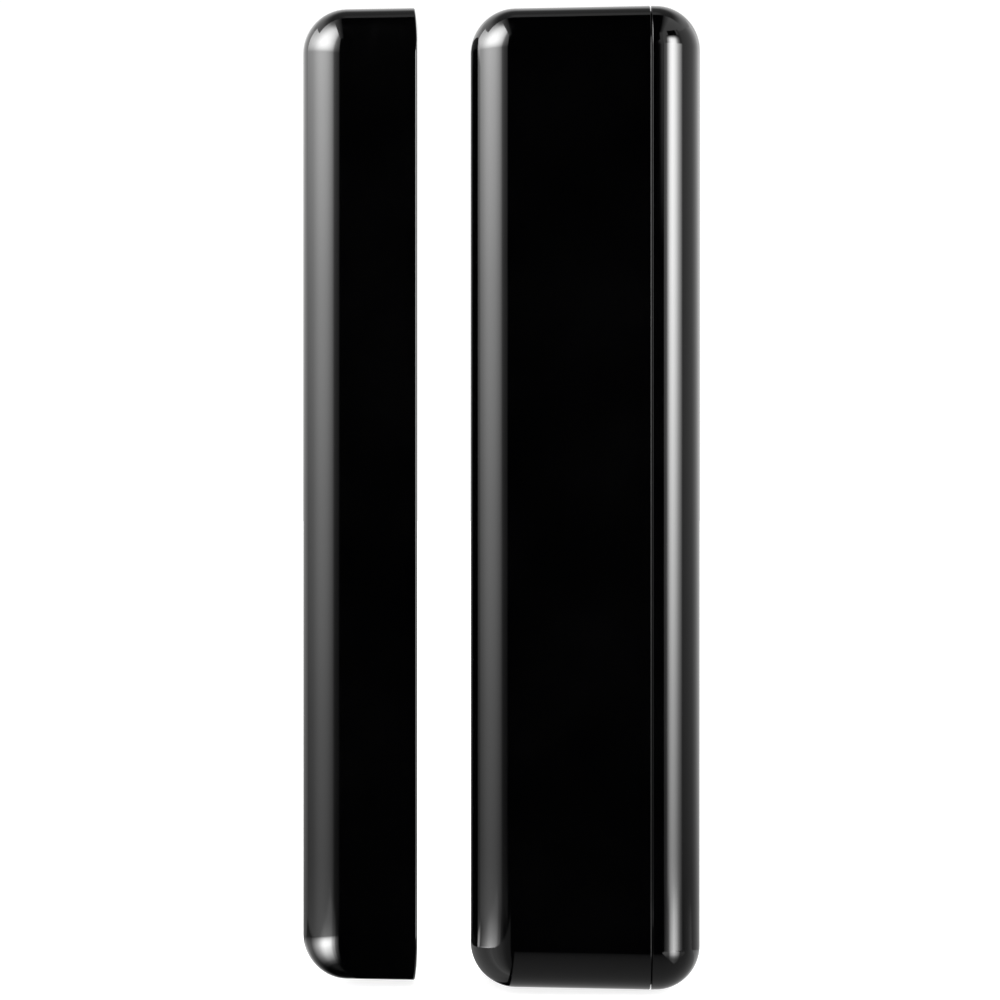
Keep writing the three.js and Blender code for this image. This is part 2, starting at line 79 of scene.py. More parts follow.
BOARD = Sizes(x=(-8.4, 5.8), y=(-6.9, -5.9), z=(-42.0, 42.0))
BOARD_FRONT, BOARD_BACK = BOARD.y
SOLDER = 0.1
SEAT = BOARD_FRONT - SOLDER  # where the parts on the board's front stand
SHIELD = (1.5, 31.0)
CRYSTAL = (3.6, 17.5)
LED = (1.5, 39.2)
CAPACITOR = (-6.0, -28.0)
HOOK = Sizes(x=-2.0, width=6.0, foot=1.6, tongue=4.0, thick=1.0, at=(-28.0, 32.0))
TAMPER = Sizes(x=2.0, z=10.5, rod=1.1)
ENROL = Sizes(x=2.0, z=22.0, cap=1.3)
BATTERY = Sizes(x=1.5, y=-12.35, radius=5.25, wrap=0.3, low=-38.9, length=44.5)
SADDLES = (-34.0, -16.0)
ROOT = 0.2  # how far the ribs reach into the walls
REED = Sizes(x=-7.2, y=-9.6, radius=1.2, bore=0.8, half=7.0)
BAR = Sizes(width=5.0, depth=6.0, length=30.0, back=-4.2, middle=1.0)

TAMPER_AXIS = (TAMPER.x, TAMPER.z)
ENROL_AXIS = (ENROL.x, ENROL.z)
BATTERY_AXIS = (BATTERY.x, BATTERY.y)
BATTERY_TOP = BATTERY.low + BATTERY.length
REED_AXIS = (REED.x, REED.y)

CORNER_STEPS = 14
FILLET_STEPS = 18
SHARP = 35  # degrees that an edge turns before it is rounded
MM = 0.001  # a millimetre, in metres


# ---- Mesh helpers (millimetres in, metres out) ----
def outline(low, high, radii, steps=CORNER_STEPS):
    """Closed loop of 2D points round a rectangle; corner radii from (high, high) anticlockwise."""
    corners = ((high[0], high[1], 0), (low[0], high[1], 1), (low[0], low[1], 2), (high[0], low[1], 3))
    loop = []
    for (a, b, start), radius in zip(corners, radii):
        centre_a = a - math.copysign(radius, a - (low[0] + high[0]) / 2)
        centre_b = b - math.copysign(radius, b - (low[1] + high[1]) / 2)
        for i in range(steps + 1):
            turn = math.pi / 2 * (start + i / steps)
            loop.append((centre_a + radius * math.cos(turn), centre_b + radius * math.sin(turn)))
    return loop


def skin(rings, closed=False):
    """Points and faces through equal closed loops, capped at both ends, or joined end to start."""
    total, count = len(rings), len(rings[0])
    points = [point for ring in rings for point in ring]
    faces = []
    for a in range(total if closed else total - 1):
        b = (a + 1) % total
        for i in range(count):
            j = (i + 1) % count
            faces.append((a * count + i, a * count + j, b * count + j, b * count + i))
    if not closed:
        faces.append(tuple(reversed(range(count))))
        faces.append(tuple(range((total - 1) * count, total * count)))
    return points, faces


def mesh_of(name, parts):
    """One mesh from (points, faces) parts, welded, in metres, with its faces turned outwards."""
    made = bmesh.new()
    for points, faces in parts:
        verts = [made.verts.new([value * MM for value in point]) for point in points]
        for face in faces:
            made.faces.new([verts[i] for i in face])
    bmesh.ops.remove_doubles(made, verts=made.verts, dist=2e-7)
    bmesh.ops.dissolve_degenerate(made, edges=made.edges, dist=1e-8)
    bmesh.ops.recalc_face_normals(made, faces=made.faces)
    mesh = bpy.data.meshes.new(name)
    made.to_mesh(mesh)
    made.free()
    return mesh


def loose(name, *parts):
    """An object with the mesh of these parts, linked to the scene."""
    made = bpy.data.objects.new(name, mesh_of(name, parts))
    bpy.context.scene.collection.objects.link(made)
    return made


def applied(obj):
    """Bakes the object's modifiers into its mesh."""
    graph = bpy.context.evaluated_depsgraph_get()
    mesh = bpy.data.meshes.new_from_object(obj.evaluated_get(graph))
    obj.modifiers.clear()
    obj.data = mesh
    return obj


def combined(obj, others, operation):
    """Cuts or joins other objects, which are used up."""
    for other in others:
        change = obj.modifiers.new("shape", "BOOLEAN")
        change.operation = operation
        change.solver = "EXACT"
        change.object = other
        applied(obj)
        bpy.data.objects.remove(other)
    return obj


def rounded(obj, width, segments=3):
    """Rounds the sharp edges by width, in millimetres."""
    bevel = obj.modifiers.new("edges", "BEVEL")
    bevel.width = width * MM
    bevel.segments = segments
    bevel.limit_method = "ANGLE"
    bevel.angle_limit = math.radians(SHARP)
    bevel.use_clamp_overlap = True
    return applied(obj)


def eased(name, part, width, segments=3):
    """An object made of one part, with its sharp edges rounded."""
    return rounded(loose(name, part), width, segments)


def smooth(obj):
    """Smooth shading that keeps flat faces flat."""
    obj.data.polygons.foreach_set("use_smooth", [True] * len(obj.data.polygons))
    weighted = obj.modifiers.new("shading", "WEIGHTED_NORMAL")
    weighted.weight = 80
    weighted.keep_sharp = True


def piece(obj, body, slot, *nodes, look=None):
    """Finishes a piece: its look, the body it rides on and the CAD nodes it stands for."""
    smooth(obj)
    obj.data.materials.clear()
    obj.data.materials.append(look or LOOKS[slot])
    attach(obj, body)
    if nodes:
        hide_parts(*nodes)
    return obj


def around(centre, width):
    return (centre - width / 2, centre + width / 2)


def box(x, y, z):
    """Points and faces of a block."""
    points = [(a, b, c) for a in x for b in y for c in z]
    faces = [(0, 1, 3, 2), (4, 6, 7, 5), (0, 4, 5, 1), (2, 3, 7, 6), (0, 2, 6, 4), (1, 5, 7, 3)]
    return points, faces


def prism(loop, axis, levels):
    """A 2D outline drawn out along one axis."""
    places = {"x": lambda a, b, level: (level, a, b),
              "y": lambda a, b, level: (a, level, b),
              "z": lambda a, b, level: (a, b, level)}
    return skin([[places[axis](a, b, level) for a, b in loop] for level in levels])


def slab(x, z, radius, y, steps=CORNER_STEPS):
    """A plate parallel to the wall, with rounded corners."""
    return prism(outline((x[0], z[0]), (x[1], z[1]), (radius,) * 4, steps), "y", y)


def quarter(steps):
    """Angles from zero to a quarter turn."""
    return [math.pi / 2 * i / steps for i in range(steps + 1)]


def rounding(radius, steps):
    """Steps round an edge, from the face to the side: (depth below the face, inset from the side)."""
    return [(radius * (1 - math.cos(turn)), radius * (1 - math.sin(turn))) for turn in quarter(steps)]


def orbit(centre, radius, turn, level, along):
    """A point on a circle round an axis along Y ("y") or Z ("z")."""
    a, b = centre[0] + radius * math.cos(turn), centre[1] + radius * math.sin(turn)
    return (a, b, level) if along == "z" else (a, level, b)


def lathe(profile, centre, along, steps=64, closed=False):
    """A body of revolution: profile is (radius, level) pairs along Y or Z."""
    turns = [2 * math.pi * i / steps for i in range(steps)]
    rings = [[orbit(centre, radius, turn, level, along) for turn in turns] for radius, level in profile]
    return skin(rings, closed)


def arc_profile(radius, low, high, edge, steps=5):
    """Lathe profile of a cylinder with rounded rims."""
    below = [(radius - inset, low + depth) for depth, inset in rounding(edge, steps)]
    above = [(radius - depth, high - inset) for depth, inset in rounding(edge, steps)]
    return [(0.0, low)] + below + above + [(0.0, high)]


def rod(centre, radius, levels, along, edge=0.0, steps=48):
    """A cylinder, with rounded rims if `edge` is given."""
    if edge:
        return lathe(arc_profile(radius, *levels, edge), centre, along, steps)
    return lathe([(radius, level) for level in levels], centre, along, steps)


def wire(line, radius, sides=12):
    """A round wire along a line of points."""
    centres = [Vector(point) for point in line]
    rings = []
    side = None
    for i, centre in enumerate(centres):
        ahead = (centres[min(i + 1, len(centres) - 1)] - centres[max(i - 1, 0)]).normalized()
        side = ahead.orthogonal() if side is None else side
        side = (side - ahead * side.dot(ahead)).normalized()
        other = ahead.cross(side)
        turns = [2 * math.pi * k / sides for k in range(sides)]
        rings.append([tuple(centre + (side * math.cos(t) + other * math.sin(t)) * radius) for t in turns])
    return skin(rings)


def bent(points, radius, steps=6):
    """A line through the points, with its corners rounded off."""
    line = [Vector(points[0])]
    for before, corner, after in zip(points, points[1:], points[2:]):
        corner = Vector(corner)
        towards = (Vector(before) - corner).normalized() * radius
        away = (Vector(after) - corner).normalized() * radius
        for i in range(steps + 1):
            t = i / steps
            line.append(corner + towards * (1 - t) ** 2 + away * t**2)
    line.append(Vector(points[-1]))
    return line


def band(path, thickness):
    """Outline of a bent strip that follows a 2D path."""
    sides = ([], [])
    for i, point in enumerate(path):
        ahead = Vector(path[min(i + 1, len(path) - 1)]) - Vector(path[max(i - 1, 0)])
        across = Vector((-ahead[1], ahead[0])).normalized() * (thickness / 2)
        sides[0].append((point[0] + across[0], point[1] + across[1]))
        sides[1].append((point[0] - across[0], point[1] - across[1]))
    return sides[0] + sides[1][::-1]


# ---- Materials ----
class Nodes:
    """Builds one node material."""

    def __init__(self, name):
        self.material = bpy.data.materials.new(name)
        self.material.use_nodes = True
        self.tree = self.material.node_tree
        self.shader = self.tree.nodes["Principled BSDF"]
        self.place = self.tree.nodes.new("ShaderNodeTexCoord").outputs["Object"]

    def feed(self, value, socket):
        """Links another node's output to the socket, or sets a plain value."""
        if isinstance(value, bpy.types.NodeSocket):
            self.tree.links.new(value, socket)
        else:
            socket.default_value = value

    def node(self, kind, **inputs):
        """Adds a node and feeds its inputs, whose names have _ for spaces."""
        made = self.tree.nodes.new("ShaderNode" + kind)
        for name, value in inputs.items():
            self.feed(value, made.inputs[name.replace("_", " ")])
        return made

    def parts(self, vector):
        """The X, Y and Z of a vector."""
        return self.node("SeparateXYZ", Vector=vector).outputs

    def noise(self, scale, detail=4.0, stretch=(1, 1, 1)):
        """Noise with features of about 1/scale metres."""
        place = self.node("Mapping", Vector=self.place, Scale=stretch).outputs["Vector"]
        return self.node("TexNoise", Vector=place, Scale=scale, Detail=detail).outputs["Fac"]

    def cells(self, scale, feature="F1"):
        texture = self.node("TexVoronoi", Vector=self.place, Scale=scale)
        texture.feature = feature
        return texture.outputs["Distance"]

    def spread(self, source, low, high, start=0.35, end=0.65):
        """Maps start..end, by default the middle of a noise, to low..high."""
        node = self.node("MapRange", Value=source, From_Min=start, From_Max=end, To_Min=low, To_Max=high)
        return node.outputs["Result"]

    def math(self, operation, a, b=0):
        node = self.node("Math")
        node.operation = operation
        for socket, value in zip(node.inputs, (a, b)):
            self.feed(value, socket)
        return node.outputs["Value"]

    def mix(self, factor, a, b, mode="MIX"):
        """Mixes two colours."""
        node = self.node("Mix")
        node.data_type = "RGBA"
        node.blend_type = mode
        for place, value in ((0, factor), (6, a), (7, b)):  # the sockets used when it mixes colours
            self.feed(value, node.inputs[place])
        return node.outputs[2]

    def colours(self, factor, *stops):
        """A colour ramp: stops are (position, (r, g, b))."""
        node = self.node("ValToRGB", Fac=factor)
        ramp = node.color_ramp
        while len(ramp.elements) < len(stops):
            ramp.elements.new(0.5)
        for element, (position, colour) in zip(ramp.elements, stops):
            element.position = position
            element.color = (*colour, 1)
        return node.outputs["Color"]

    def bump(self, *layers):
        """Stacks bumps: each layer is (height source, strength, distance in millimetres)."""
        normal = None
        for height, strength, distance in layers:
            node = self.node("Bump", Height=height, Strength=strength, Distance=distance * MM)
            if normal is not None:
                self.feed(normal, node.inputs["Normal"])
            normal = node.outputs["Normal"]
        self.feed(normal, self.shader.inputs["Normal"])

    def set(self, **values):
        for name, value in values.items():
            self.feed(value, self.shader.inputs[name.replace("_", " ")])
        return self.material


def gloss_plastic():
    """Piano-black moulded plastic: mirror-like, with a faint ripple, fine wipe marks and a trace of dust."""
    look = Nodes("gloss_black_plastic")
    wide = look.noise(90)
    wipes = look.noise(1500, 3, (1, 1, 0.04))
    dust = look.noise(5200, 2)
    colour = look.colours(wide, (0.35, (0.0003, 0.0003, 0.0004)), (0.65, (0.0007, 0.0007, 0.0008)))
    rough = look.math("ADD", look.spread(wide, 0.055, 0.085), look.spread(wipes, 0.0, 0.035, 0.5, 0.75))
    rough = look.math("ADD", rough, look.spread(dust, 0.0, 0.10, 0.68, 0.80))
    look.bump((look.noise(700, 2), 0.05, 0.01), (wipes, 0.03, 0.004))
    return look.set(Base_Color=colour, Roughness=rough, IOR=1.5)


def matte_plastic():
    """Spark-eroded matte moulding, with rubbed patches."""
    look = Nodes("matte_black_plastic")
    patches = look.noise(140)
    grain = look.noise(5500, 2)
    colour = look.colours(patches, (0.35, (0.014, 0.014, 0.015)), (0.68, (0.024, 0.024, 0.026)))
    look.bump((grain, 0.35, 0.06), (look.noise(2200, 3), 0.15, 0.05))
    rough = look.math("ADD", look.spread(patches, 0.46, 0.60), look.spread(grain, -0.04, 0.05))
    return look.set(Base_Color=colour, Roughness=rough)


def foam(name, dark, light, pore):
    """Closed-cell foam with pores of about 1/pore metres."""
    look = Nodes(name)
    cell = look.cells(pore)
    colour = look.colours(cell, (0.05, dark), (0.55, light))
    look.bump((cell, 0.6, 0.12), (look.noise(pore * 2.5, 3), 0.4, 0.05))
    return look.set(Base_Color=colour, Roughness=look.spread(look.noise(pore), 0.82, 0.96))


def circuit_board_look():
    """Green solder mask over copper tracks, and bare glass fibre on the cut edges."""
    look = Nodes("green_circuit_board")
    track = look.cells(420, "DISTANCE_TO_EDGE")
    lines = look.spread(track, 1.0, 0.0, 0.10, 0.16)
    green = look.colours(lines, (0.0, (0.008, 0.075, 0.026)), (1.0, (0.020, 0.135, 0.045)))
    strands = look.noise(2600, 3, (1, 0.2, 1))
    fibre = look.colours(strands, (0.35, (0.30, 0.24, 0.09)), (0.7, (0.44, 0.36, 0.16)))
    facing = look.parts(look.node("NewGeometry").outputs["Normal"])
    flat = look.math("GREATER_THAN", look.math("ABSOLUTE", facing["Y"]), 0.7)
    look.bump((lines, 0.5, 0.03), (look.noise(4000, 2), 0.1, 0.01))
    rough = look.math("ADD", look.spread(look.noise(300), 0.26, 0.38), look.math("MULTIPLY", lines, -0.05))
    return look.set(Base_Color=look.mix(flat, fibre, green), Roughness=rough)


def moulded(name, dark, light, rough=(0.45, 0.6), grain=6000, depth=0.02):
    """Moulded epoxy or hard plastic with a fine speckle."""
    look = Nodes(name)
    speck = look.noise(grain, 3)
    wide = look.noise(350)
    mixed = look.math("ADD", look.math("MULTIPLY", speck, 0.6), look.math("MULTIPLY", wide, 0.4))
    colour = look.colours(mixed, (0.35, dark), (0.65, light))
    look.bump((speck, 0.3, depth))
    return look.set(Base_Color=colour, Roughness=look.spread(wide, *rough))


def metal(name, dark, light, rough=(0.18, 0.38), stretch=(1, 1, 0.05), depth=0.006):
    """Plated or drawn metal: fine drawing lines, cloudy tarnish and smudged roughness."""
    look = Nodes(name)
    lines = look.noise(3500, 3, stretch)
    cloud = look.noise(260, 5)
    colour = look.colours(cloud, (0.3, dark), (0.7, light))
    look.bump((lines, 0.35, depth))
    spread = look.math("ADD", look.spread(cloud, *rough), look.spread(lines, -0.04, 0.06))
    return look.set(Base_Color=colour, Roughness=spread, Metallic=1.0)


def glass():
    """Thin drawn glass with a greenish tint and faint drawing ripples."""
    look = Nodes("reed_glass_look")
    ripple = look.noise(900, 2, (1, 1, 0.2))
    tint = look.colours(ripple, (0.3, (0.78, 0.93, 0.86)), (0.7, (0.90, 0.98, 0.94)))
    look.bump((ripple, 0.1, 0.01))
    rough = look.spread(look.noise(400), 0.0, 0.05)
    return look.set(Base_Color=tint, Roughness=rough, IOR=1.47, Transmission_Weight=0.9)


BAND_START = -0.009  # where the film turns pale, in metres


def battery_film():
    """Shrunk film on the cell: deep blue below, a lighter band above, and small shrink wrinkles."""
    look = Nodes("battery_film")
    above = look.math("GREATER_THAN", look.parts(look.place)["Z"], BAND_START)
    cloud = look.noise(200)
    deep = look.colours(cloud, (0.3, (0.008, 0.018, 0.045)), (0.7, (0.014, 0.030, 0.070)))
    pale = look.colours(cloud, (0.3, (0.42, 0.43, 0.45)), (0.7, (0.55, 0.56, 0.58)))
    look.bump((look.noise(800, 3, (1, 1, 0.3)), 0.12, 0.03))
    return look.set(Base_Color=look.mix(above, deep, pale), Roughness=look.spread(cloud, 0.16, 0.30))


# The look of each material slot.
LOOKS = {
    "housing_plastic": gloss_plastic(),
    "bracket_plastic": matte_plastic(),
    "adhesive_tape": foam("foam_tape_look", (0.30, 0.31, 0.32), (0.52, 0.53, 0.55), 3800),
    "foam": foam("grey_foam_look", (0.018, 0.019, 0.021), (0.060, 0.062, 0.066), 1800),
    "board": circuit_board_look(),
    "component_black": moulded("chip_epoxy", (0.010, 0.010, 0.011), (0.030, 0.031, 0.033)),
    "button_plastic": moulded("button_plastic", (0.52, 0.52, 0.50), (0.70, 0.70, 0.68), (0.30, 0.42),
                              2500, 0.01),
    "capacitor_resin": moulded("capacitor_resin_look", (0.46, 0.20, 0.02), (0.72, 0.38, 0.05), (0.35, 0.5),
                               4000),
    "led_lens": moulded("led_resin", (0.72, 0.78, 0.70), (0.90, 0.93, 0.86), (0.15, 0.25), 2500, 0.005),
    "tin_plate": metal("tin_plate_look", (0.42, 0.43, 0.44), (0.66, 0.67, 0.69), (0.28, 0.42), (1, 1, 0.08)),
    "spring_steel": metal("spring_steel_look", (0.34, 0.35, 0.37), (0.58, 0.59, 0.61), (0.2, 0.35)),
    "copper_wire": metal("enamelled_copper", (0.42, 0.14, 0.04), (0.72, 0.30, 0.12), (0.18, 0.3)),
    "reed_metal": metal("reed_plating", (0.50, 0.47, 0.40), (0.74, 0.71, 0.64), (0.15, 0.3)),
    "battery_steel": metal("battery_steel_look", (0.50, 0.50, 0.49), (0.74, 0.74, 0.72), (0.15, 0.3)),
    "magnet_nickel": metal("nickel_plating", (0.62, 0.61, 0.58), (0.72, 0.71, 0.68), (0.10, 0.20), (1, 1, 1),
                           0.002),
    "reed_glass": glass(),
    "battery_wrap": battery_film(),
}


# ---- Sensor housing and side cover ----
def drafted(point, full, slope):
    """Leans the end faces in, further left than `full`."""
    x, y, z = point
    lean = slope * max(0.0, full - x)
    return (x, y, z - math.copysign(min(lean, abs(z)), z))


def section(x, front, back, top, front_radius, back_radius):
    """A ring of the sensor at one x: rounded front corners, nearly sharp back ones."""
    radii = (back_radius, front_radius, front_radius, back_radius)
    return [(x, y, z) for y, z in outline((front, -top), (back, top), radii)]


def outer_section(x, inset, rim=0.0):
    front, radius = -SENSOR_DEPTH + inset + rim, max(EDGE_RADIUS - inset - rim, 0.0)
    ring = section(x, front, HOUSING_BACK - rim, HALF - inset - rim, radius, BACK_RADIUS)
    return [drafted(point, SEAM_X, SENSOR_DRAFT) for point in ring]


def inner_section(x, inset, radius):
    return section(x, INNER_FRONT + inset, INNER_BACK - inset, INNER_END - inset, radius, radius)


def housing_shell():
    left = -SENSOR_WIDTH / 2
    rings = [outer_section(left + depth, inset) for depth, inset in rounding(EDGE_RADIUS, FILLET_STEPS)]
    rings += [outer_section(SEAM_X - inset, 0, depth) for depth, inset in rounding(SEAM_RIM, 4)]
    for depth, inset in reversed(rounding(0.1, 3)):
        rings.append(inner_section(SEAM_X - inset, -depth, INNER_RADIUS))
    for depth, inset in reversed(rounding(INNER_RADIUS, 8)):
        rings.append(inner_section(INNER_LEFT + depth, inset, INNER_RADIUS - inset))
    shell = loose("sensor_housing_shell", skin(rings))
    through = (INNER_BACK - 0.3, HOUSING_BACK + 0.3)
    cutters = []
    for z in HOOK.at:
        tall = (z - SLIDE - GAP, z + HOOK.foot + GAP)
        cutters.append(loose("slot", slab(around(HOOK.x, HOOK.width + 2 * GAP), tall, 0.25, through, 4)))
    for axis, radius in ((TAMPER_AXIS, TAMPER.rod), (ENROL_AXIS, ENROL.cap)):
        cutters.append(loose("hole", rod(axis, radius + 0.4, through, "y")))
    return combined(shell, cutters, "DIFFERENCE")


def saddle(z):
    """A rib with a round seat for the cell, on the cell's left only."""
    reach, tip, steps = BATTERY.radius + GAP, 2.5, 16
    left, low, high = INNER_LEFT - ROOT, INNER_FRONT - ROOT, BOARD_FRONT - 0.8
    start = math.atan2(-math.sqrt(reach**2 - tip**2), -tip)
    end = math.atan2(high - BATTERY.y, -math.sqrt(reach**2 - (high - BATTERY.y) ** 2))
    loop = [(left, low), (BATTERY.x - tip, low)]
    for i in range(steps + 1):
        turn = start + (end - 2 * math.pi - start) * i / steps
        loop.append((BATTERY.x + reach * math.cos(turn), BATTERY.y + reach * math.sin(turn)))
    loop.append((left, high))
    return skin([[(x, y, level) for x, y in loop] for level in around(z, 1.2)])


def housing_ribs():
    """Board rails and battery saddles, rooted a little way in the walls."""
    left, right = INNER_LEFT - ROOT, -3
    parts = [saddle(z) for z in SADDLES]
    for side in (-1, 1):
        z = sorted((side * (BOARD.z[1] - 1), side * (INNER_END + ROOT)))
        parts.append(box((left + 0.6, right), (BOARD_BACK + GAP, INNER_BACK + ROOT), z))
        parts.append(box((left + 0.2, right), (BOARD_FRONT - 1.3, BOARD_FRONT - GAP), z))
    return rounded(loose("sensor_housing_ribs", *parts), 0.12, 2)


def cover_shell():
    right = SENSOR_WIDTH / 2
    start = SEAM_X + SEAM_GAP
    slack, thick, reach, radius = 0.15, 0.9, 1.8, INNER_RADIUS - 0.8
    rings = []
    for depth, inset in rounding(EDGE_RADIUS, FILLET_STEPS):
        if EDGE_RADIUS - depth > SEAM_RIM:
            rings.append(outer_section(right - depth, inset))
    rings += [outer_section(start + inset, 0, depth) for depth, inset in rounding(SEAM_RIM, 4)]
    # Inside a shallow groove the two mating faces come close together, so that no light shows through.
    groove, step = 0.45, 0.08
    rings += [outer_section(x, 0, groove) for x in (start, start - step)]
    for x in (start - step, start - reach + 0.25):
        rings.append(inner_section(x, slack, INNER_RADIUS))
    rings.append(inner_section(start - reach, slack + 0.2, INNER_RADIUS - 0.2))
    rings.append(inner_section(start - reach, slack + thick, radius))
    for depth, inset in reversed(rounding(radius, 8)):
        rings.append(inner_section(right - WALL - depth, slack + thick + inset, radius - inset))
    return loose("side_cover_shell", skin(rings))


piece(housing_shell(), "sensor", "housing_plastic", "sensor_housing")
piece(housing_ribs(), "sensor", "housing_plastic", look=LOOKS["bracket_plastic"])
piece(cover_shell(), "side_cover", "housing_plastic", "side_cover")


# ---- Magnet unit ----
def in_magnet_unit(obj):
    """Shifts a piece made round the magnet unit's own middle to its place."""
    obj.data.transform(Matrix.Translation((MAGNET_X * MM, 0, MAGNET_RISE * MM)))
    return obj


def bowed(point):
    """The flat side draws in a little towards both ends."""
    x, y, z = point
    reach = max(0.0, abs(z) - (HALF - EDGE_RADIUS)) / EDGE_RADIUS
    return (x - 0.3 * reach**2 * (x > 0), y, z)


def magnet_shell():
    """Its front edges curve over a little further at the ends than along its sides."""
    half = MAGNET_WIDTH / 2
    rings = []

    def outside(y, inset, right_inset, rim=0.0):
        radius = max(EDGE_RADIUS - inset - rim, 0.0)
        end = MAGNET_HALF - inset * END_STRETCH - rim
        low, high = (-half + inset + rim, -end), (half - right_inset - rim, end)
        loop = outline(low, high, (BACK_RADIUS, radius, radius, BACK_RADIUS))
        return [bowed(drafted((x, y, z), half, MAGNET_DRAFT)) for x, z in loop]

    for depth, inset in rounding(EDGE_RADIUS, FILLET_STEPS + 4):
        right_inset = RIM - math.sqrt(RIM**2 - (RIM - depth) ** 2) if depth < RIM else 0.0
        rings.append(outside(-MAGNET_DEPTH + depth, inset, right_inset))
    rings += [outside(HOUSING_BACK - inset, 0, 0, depth) for depth, inset in rounding(RIM, 4)]

    def hollow(y, inset, radius):
        inner = half - MAGNET_WALL - inset
        loop = outline((-inner, -INNER_END + inset), (inner, INNER_END - inset), (radius,) * 4)
        return [(x, y, z) for x, z in loop]

    radius = INNER_RADIUS - 0.6
    rings.append(hollow(HOUSING_BACK, -0.08, radius))
    rings.append(hollow(HOUSING_BACK - 0.08, 0, radius))
    for depth, inset in reversed(rounding(radius, 8)):
        rings.append(hollow(-MAGNET_DEPTH + MAGNET_WALL + depth, inset, radius - inset))
    return in_magnet_unit(loose("magnet_housing_shell", skin(rings)))


piece(magnet_shell(), "magnet_housing", "housing_plastic", "magnet_housing")


def screw_hole(x, z, front):
    """Cutter for a countersunk hole for a 3 mm screw."""
    shank, head = SCREW.shank, SCREW.head
    profile = [(shank, 0.5), (shank, front + SCREW.sink), (head, front), (head, front - 1)]
    return loose("screw_hole", lathe(profile, (x, z), "y"))


def magnet_cradle():
    half = MAGNET_WIDTH / 2 - 0.4
    inner = MAGNET_WIDTH / 2 - MAGNET_WALL - GAP
    reach = BAR.middle + BAR.length
    plug = (BAR.back + GAP, PLATE_FRONT + 0.5)
    depth = (BAR.back - BAR.depth * 0.8, BAR.back + 2 * GAP)
    plate = slab((-half, half), around(0, HEIGHT - 2), 1.2, (PLATE_FRONT, -TAPE))
    base = eased("magnet_cradle_plate", plate, 0.2)
    ends = around(0, 2 * INNER_END - 6 * GAP)
    others = [eased("plug", slab((-inner, inner), ends, 1.6, plug), 0.15)]
    tall = around(0, 2 * (reach + GAP + 1))
    wall = BAR.width / 2 + GAP
    for side in (-1, 1):
        x = sorted((side * wall, side * inner))
        others.append(eased("cheek", box(x, depth, tall), 0.12, 2))
        stop = sorted((side * (reach + GAP), side * (reach + GAP + 1)))
        others.append(eased("stop", box((-inner + 0.01, inner - 0.01), depth, stop), 0.12, 2))
    combined(base, others, "UNION")
    holes = [screw_hole(0, z, BAR.back + GAP) for z in SCREW.magnet_at]
    return in_magnet_unit(combined(base, holes, "DIFFERENCE"))


def bar_magnet(end, side):
    z = sorted((side * BAR.middle / 2, side * (BAR.middle / 2 + BAR.length)))
    block = box(around(0, BAR.width), (BAR.back - BAR.depth, BAR.back), z)
    return in_magnet_unit(eased("bar_magnet_" + end, block, 0.35, 5))


def foam_block():
    """The strip of foam, a little compressed and wavy where it was cut."""
    front, back = -MAGNET_DEPTH + MAGNET_WALL + 0.3, BAR.back - BAR.depth - GAP
    length, half, steps = 56, 2.12, 60
    rings = []
    for i in range(steps + 1):
        z = -length / 2 + length * i / steps
        x = half + 0.08 * math.sin(z * 0.9) + 0.05 * math.sin(z * 2.3 + 1)
        rings.append([(a, b, z) for a, b in outline((-x, front), (x, back), (0.35,) * 4, 5)])
    return in_magnet_unit(loose("foam_strip_block", skin(rings)))


def tape_strip(name, x, z):
    return eased(name, slab(x, z, 1.5, (-TAPE + 0.05, 0)), 0.1)


piece(magnet_cradle(), "magnet_base", "bracket_plastic", "magnet_base")
for end, side in (("upper", 1), ("lower", -1)):
    piece(bar_magnet(end, side), "magnet_base", "magnet_nickel", end + "_bar_magnet")
magnet_tape = in_magnet_unit(tape_strip("magnet_tape_strip", around(0, 7), around(0, 64)))
piece(magnet_tape, "magnet_base", "adhesive_tape", "magnet_tape")
piece(foam_block(), "magnet_housing", "foam", "foam_strip")


# ---- Wall bracket ----
def bracket_plate():
    inset = 0.4
    x = around(0, SENSOR_WIDTH - 2 * inset)
    plate = slab(x, around(0, HEIGHT - 4 * inset), EDGE_RADIUS - inset, (PLATE_FRONT, -TAPE))
    body = eased("wall_bracket", plate, 0.2)
    front = INNER_BACK - GAP - HOOK.thick
    for z in HOOK.at:
        foot = box(around(HOOK.x, HOOK.width), (front, PLATE_FRONT + 0.5), (z, z + HOOK.foot))
        tongue = box(around(HOOK.x, HOOK.width - 0.02), (front + 0.01, front + HOOK.thick),
                     (z + 0.01, z + HOOK.foot + HOOK.tongue))
        hook = combined(loose("foot", foot), [loose("tongue", tongue)], "UNION")
        combined(body, [rounded(hook, 0.15, 2)], "UNION")
    run = SLIDE + 2
    ramp = [(PLATE_FRONT - 0.5, TAMPER.z), (PLATE_FRONT, TAMPER.z),
            (PLATE_FRONT + run / SLIDE, TAMPER.z + run), (PLATE_FRONT - 0.5, TAMPER.z + run)]
    through = (PLATE_FRONT - 0.4, 0)
    cut = 0.6
    (left, right), (low, high) = around(TAMPER.x, 8), (TAMPER.z - 4, TAMPER.z + 10)
    cutters = [
        loose("ramp", prism(ramp, "x", around(TAMPER.x, 3.4))),
        loose("cut", box((left, left + cut), through, (low, high))),
        loose("cut", box((right - cut, right), through, (low, high))),
        loose("cut", box((left, right), through, (high - cut, high + 0.01))),
    ]
    cutters += [screw_hole(HOOK.x, z, PLATE_FRONT) for z in SCREW.bracket_at]
    return combined(body, cutters, "DIFFERENCE")


piece(bracket_plate(), "bracket", "bracket_plastic", "mounting_bracket")
bracket_tape = tape_strip("bracket_tape_strip", around(0, 17), around(-1, 60))
piece(bracket_tape, "bracket", "adhesive_tape", "bracket_tape")


